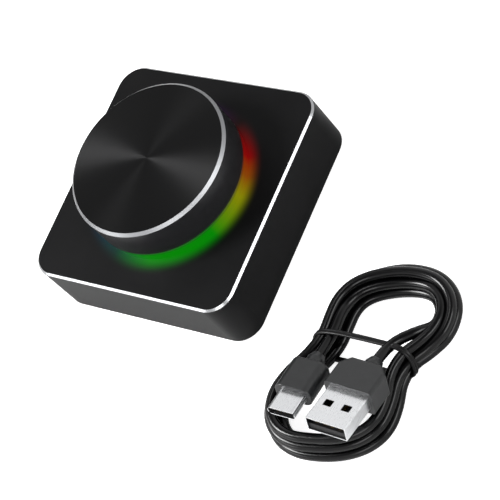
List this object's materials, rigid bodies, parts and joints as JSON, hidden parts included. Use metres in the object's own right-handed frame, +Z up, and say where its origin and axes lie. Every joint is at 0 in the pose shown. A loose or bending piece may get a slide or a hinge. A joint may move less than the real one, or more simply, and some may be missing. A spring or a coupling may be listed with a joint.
{
  "type": "usb volume control knob",
  "caption": "Square desktop base with a round metal knob that turns endlessly and presses, a glowing ring under it, and a loose coiled USB cable with its tie",
  "frame": {"origin": "on the desk, under the knob's axis, in the middle of the square base", "axes": "+Z up along the knob's axis, +Y towards the base's back wall with the USB-C port, +X towards the side where the loose cable lies"},
  "size_m": [0.1293, 0.0977, 0.0353],
  "materials": {
    "pad_rubber": "matt moulded",
    "cover_plastic": "fine texture",
    "screw_steel": "plain",
    "weight_steel": "zinc plated",
    "base_aluminium": "black anodised satin, bright chamfer",
    "light_plastic": "smoked, translucent, lit from inside",
    "board_laminate": "solder mask",
    "led_white": "moulded",
    "chip_black": "moulded",
    "component_tan": "ceramic",
    "port_steel": "plated",
    "insulator_black": "moulded",
    "contact_gold": "gold flashed",
    "encoder_plastic": "moulded",
    "encoder_steel": "tin plated",
    "encoder_brass": "nickel plated",
    "spring_steel": "bright",
    "rotor_plastic": "moulded",
    "shaft_aluminium": "turned",
    "knob_aluminium": "spin-brushed, dark anodised, bright chamfer",
    "hub_plastic": "moulded",
    "plug_steel": "plated",
    "plug_grey": "satin overmoulding",
    "cable_black": "satin sheath",
    "tie_black": "coated wire"
  },
  "bodies": {
    "base": {"anti_slip_pad": "pad_rubber", "bottom_cover": "cover_plastic", "cover_screws": "screw_steel", "counterweight": "weight_steel", "base_housing": "base_aluminium", "light_ring": "light_plastic", "main_board": "board_laminate", "board_screws": "screw_steel", "rgb_leds": "led_white", "controller_chip": "chip_black", "small_components": "component_tan", "usb_c_port_shell": "port_steel", "usb_c_port_tongue": "insulator_black", "usb_c_port_contacts": "contact_gold", "encoder_body": "encoder_plastic", "encoder_frame": "encoder_steel", "encoder_bushing": "encoder_brass", "encoder_washer": "encoder_steel", "encoder_nut": "encoder_steel", "encoder_pins": "contact_gold", "encoder_detent_spring": "spring_steel", "switch_dome": "spring_steel", "usb_c_plug_shell": "plug_steel", "usb_c_plug_liner": "insulator_black", "usb_c_plug_contacts": "contact_gold", "usb_c_plug_body": "plug_grey", "usb_a_plug_shell": "plug_steel", "usb_a_plug_tongue": "insulator_black", "usb_a_plug_contacts": "contact_gold", "usb_a_plug_body": "plug_grey", "cable_lead_c": "cable_black", "cable_lead_a": "cable_black", "cable_coil": "cable_black", "cable_tie": "tie_black"},
    "rotor": {"encoder_rotor": "rotor_plastic"},
    "knob": {"encoder_shaft": "shaft_aluminium", "knob_cap": "knob_aluminium", "knob_hub": "hub_plastic"}
  },
  "joints": [
    {"name": "knob_turn", "type": "hinge", "parent": "base", "child": "rotor", "pos_m": [0, 0, 0.0144], "axis": [0, 0, 1], "continuous": true},
    {"name": "knob_press", "type": "slide", "parent": "rotor", "child": "knob", "axis": [0, 0, -1], "range_m": [0, 0.0005], "stiffness_N_per_m": 6000, "springref_m": -0.0005, "deforming": ["switch_dome"]}
  ]
}
